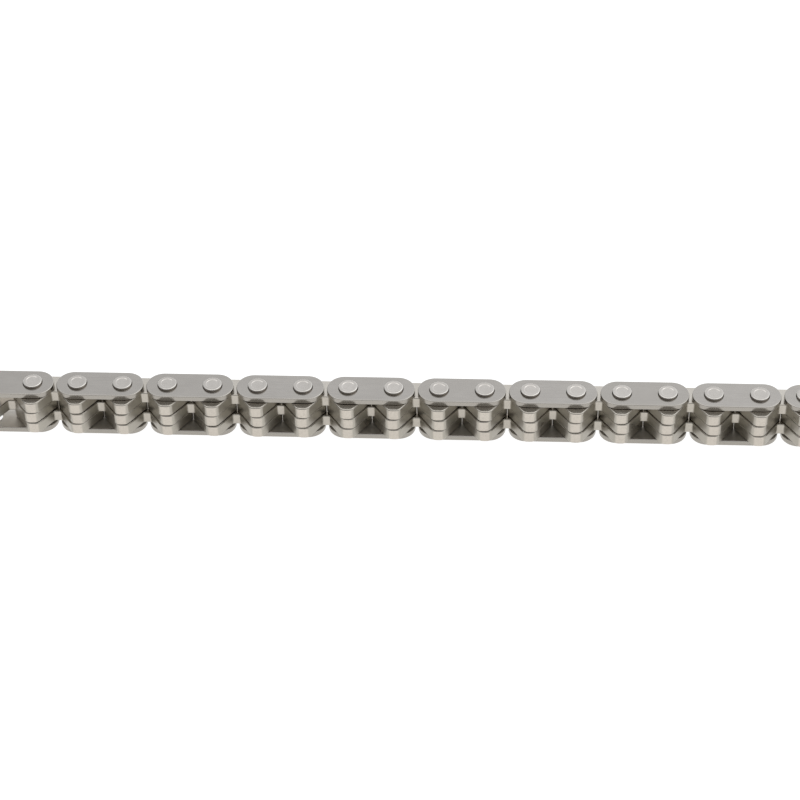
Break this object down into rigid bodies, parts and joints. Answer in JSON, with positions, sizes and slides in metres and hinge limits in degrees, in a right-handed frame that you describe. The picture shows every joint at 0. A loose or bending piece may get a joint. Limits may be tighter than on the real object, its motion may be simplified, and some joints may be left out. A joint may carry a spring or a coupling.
{
  "type": "silent chain",
  "caption": "Open length of inverted-tooth chain: toothed driving plates laced between plain guide plates on pressed round pins.",
  "frame": {"origin": "axis of the free pin hole in the first outer link, at mid-width", "axes": "+X along the strand, +Z along the pins and up, teeth towards -Y; the strand lies on its side on the ends of its pins"},
  "size_m": [0.1678, 0.0074, 0.0102],
  "materials": {
    "guide_plate_steel": "tumbled satin",
    "tooth_plate_steel": "tumbled satin, darker flanks",
    "pin_steel": "ground and polished"
  },
  "bodies": {
    "outer_link_01": {"outer_link_01_upper_guide_plate": "guide_plate_steel", "outer_link_01_centre_tooth_plate": "tooth_plate_steel", "outer_link_01_lower_guide_plate": "guide_plate_steel", "outer_link_01_pin": "pin_steel"},
    "outer_link_02": {"outer_link_02_upper_guide_plate": "guide_plate_steel", "outer_link_02_centre_tooth_plate": "tooth_plate_steel", "outer_link_02_lower_guide_plate": "guide_plate_steel", "outer_link_02_pins": "pin_steel"},
    "outer_link_03": {"outer_link_03_upper_guide_plate": "guide_plate_steel", "outer_link_03_centre_tooth_plate": "tooth_plate_steel", "outer_link_03_lower_guide_plate": "guide_plate_steel", "outer_link_03_pins": "pin_steel"},
    "outer_link_04": {"outer_link_04_upper_guide_plate": "guide_plate_steel", "outer_link_04_centre_tooth_plate": "tooth_plate_steel", "outer_link_04_lower_guide_plate": "guide_plate_steel", "outer_link_04_pins": "pin_steel"},
    "outer_link_05": {"outer_link_05_upper_guide_plate": "guide_plate_steel", "outer_link_05_centre_tooth_plate": "tooth_plate_steel", "outer_link_05_lower_guide_plate": "guide_plate_steel", "outer_link_05_pins": "pin_steel"},
    "outer_link_06": {"outer_link_06_upper_guide_plate": "guide_plate_steel", "outer_link_06_centre_tooth_plate": "tooth_plate_steel", "outer_link_06_lower_guide_plate": "guide_plate_steel", "outer_link_06_pins": "pin_steel"},
    "outer_link_07": {"outer_link_07_upper_guide_plate": "guide_plate_steel", "outer_link_07_centre_tooth_plate": "tooth_plate_steel", "outer_link_07_lower_guide_plate": "guide_plate_steel", "outer_link_07_pins": "pin_steel"},
    "outer_link_08": {"outer_link_08_upper_guide_plate": "guide_plate_steel", "outer_link_08_centre_tooth_plate": "tooth_plate_steel", "outer_link_08_lower_guide_plate": "guide_plate_steel", "outer_link_08_pins": "pin_steel"},
    "outer_link_09": {"outer_link_09_upper_guide_plate": "guide_plate_steel", "outer_link_09_centre_tooth_plate": "tooth_plate_steel", "outer_link_09_lower_guide_plate": "guide_plate_steel", "outer_link_09_pins": "pin_steel"},
    "outer_link_10": {"outer_link_10_upper_guide_plate": "guide_plate_steel", "outer_link_10_centre_tooth_plate": "tooth_plate_steel", "outer_link_10_lower_guide_plate": "guide_plate_steel", "outer_link_10_pins": "pin_steel"},
    "inner_link_01": {"inner_link_01_upper_tooth_plate": "tooth_plate_steel", "inner_link_01_lower_tooth_plate": "tooth_plate_steel"},
    "inner_link_02": {"inner_link_02_upper_tooth_plate": "tooth_plate_steel", "inner_link_02_lower_tooth_plate": "tooth_plate_steel"},
    "inner_link_03": {"inner_link_03_upper_tooth_plate": "tooth_plate_steel", "inner_link_03_lower_tooth_plate": "tooth_plate_steel"},
    "inner_link_04": {"inner_link_04_upper_tooth_plate": "tooth_plate_steel", "inner_link_04_lower_tooth_plate": "tooth_plate_steel"},
    "inner_link_05": {"inner_link_05_upper_tooth_plate": "tooth_plate_steel", "inner_link_05_lower_tooth_plate": "tooth_plate_steel"},
    "inner_link_06": {"inner_link_06_upper_tooth_plate": "tooth_plate_steel", "inner_link_06_lower_tooth_plate": "tooth_plate_steel"},
    "inner_link_07": {"inner_link_07_upper_tooth_plate": "tooth_plate_steel", "inner_link_07_lower_tooth_plate": "tooth_plate_steel"},
    "inner_link_08": {"inner_link_08_upper_tooth_plate": "tooth_plate_steel", "inner_link_08_lower_tooth_plate": "tooth_plate_steel"},
    "inner_link_09": {"inner_link_09_upper_tooth_plate": "tooth_plate_steel", "inner_link_09_lower_tooth_plate": "tooth_plate_steel"},
    "inner_link_10": {"inner_link_10_upper_tooth_plate": "tooth_plate_steel", "inner_link_10_lower_tooth_plate": "tooth_plate_steel"}
  },
  "joints": [
    {"name": "pin_01_hinge", "type": "hinge", "parent": "inner_link_01", "child": "outer_link_01", "pos_m": [0.008, 0, 0], "axis": [0, 0, 1], "range_deg": [-18, 18]},
    {"name": "pin_02_hinge", "type": "hinge", "parent": "outer_link_02", "child": "inner_link_01", "pos_m": [0.016, 0, 0], "axis": [0, 0, 1], "range_deg": [-18, 18]},
    {"name": "pin_03_hinge", "type": "hinge", "parent": "inner_link_02", "child": "outer_link_02", "pos_m": [0.024, 0, 0], "axis": [0, 0, 1], "range_deg": [-18, 18]},
    {"name": "pin_04_hinge", "type": "hinge", "parent": "outer_link_03", "child": "inner_link_02", "pos_m": [0.032, 0, 0], "axis": [0, 0, 1], "range_deg": [-18, 18]},
    {"name": "pin_05_hinge", "type": "hinge", "parent": "inner_link_03", "child": "outer_link_03", "pos_m": [0.04, 0, 0], "axis": [0, 0, 1], "range_deg": [-18, 18]},
    {"name": "pin_06_hinge", "type": "hinge", "parent": "outer_link_04", "child": "inner_link_03", "pos_m": [0.048, 0, 0], "axis": [0, 0, 1], "range_deg": [-18, 18]},
    {"name": "pin_07_hinge", "type": "hinge", "parent": "inner_link_04", "child": "outer_link_04", "pos_m": [0.056, 0, 0], "axis": [0, 0, 1], "range_deg": [-18, 18]},
    {"name": "pin_08_hinge", "type": "hinge", "parent": "outer_link_05", "child": "inner_link_04", "pos_m": [0.064, 0, 0], "axis": [0, 0, 1], "range_deg": [-18, 18]},
    {"name": "pin_09_hinge", "type": "hinge", "parent": "inner_link_05", "child": "outer_link_05", "pos_m": [0.072, 0, 0], "axis": [0, 0, 1], "range_deg": [-18, 18]},
    {"name": "pin_10_hinge", "type": "hinge", "parent": "outer_link_06", "child": "inner_link_05", "pos_m": [0.08, 0, 0], "axis": [0, 0, 1], "range_deg": [-18, 18]},
    {"name": "pin_11_hinge", "type": "hinge", "parent": "outer_link_06", "child": "inner_link_06", "pos_m": [0.088, 0, 0], "axis": [0, 0, -1], "range_deg": [-18, 18]},
    {"name": "pin_12_hinge", "type": "hinge", "parent": "inner_link_06", "child": "outer_link_07", "pos_m": [0.096, 0, 0], "axis": [0, 0, -1], "range_deg": [-18, 18]},
    {"name": "pin_13_hinge", "type": "hinge", "parent": "outer_link_07", "child": "inner_link_07", "pos_m": [0.104, 0, 0], "axis": [0, 0, -1], "range_deg": [-18, 18]},
    {"name": "pin_14_hinge", "type": "hinge", "parent": "inner_link_07", "child": "outer_link_08", "pos_m": [0.112, 0, 0], "axis": [0, 0, -1], "range_deg": [-18, 18]},
    {"name": "pin_15_hinge", "type": "hinge", "parent": "outer_link_08", "child": "inner_link_08", "pos_m": [0.12, 0, 0], "axis": [0, 0, -1], "range_deg": [-18, 18]},
    {"name": "pin_16_hinge", "type": "hinge", "parent": "inner_link_08", "child": "outer_link_09", "pos_m": [0.128, 0, 0], "axis": [0, 0, -1], "range_deg": [-18, 18]},
    {"name": "pin_17_hinge", "type": "hinge", "parent": "outer_link_09", "child": "inner_link_09", "pos_m": [0.136, 0, 0], "axis": [0, 0, -1], "range_deg": [-18, 18]},
    {"name": "pin_18_hinge", "type": "hinge", "parent": "inner_link_09", "child": "outer_link_10", "pos_m": [0.144, 0, 0], "axis": [0, 0, -1], "range_deg": [-18, 18]},
    {"name": "pin_19_hinge", "type": "hinge", "parent": "outer_link_10", "child": "inner_link_10", "pos_m": [0.152, 0, 0], "axis": [0, 0, -1], "range_deg": [-18, 18]}
  ]
}
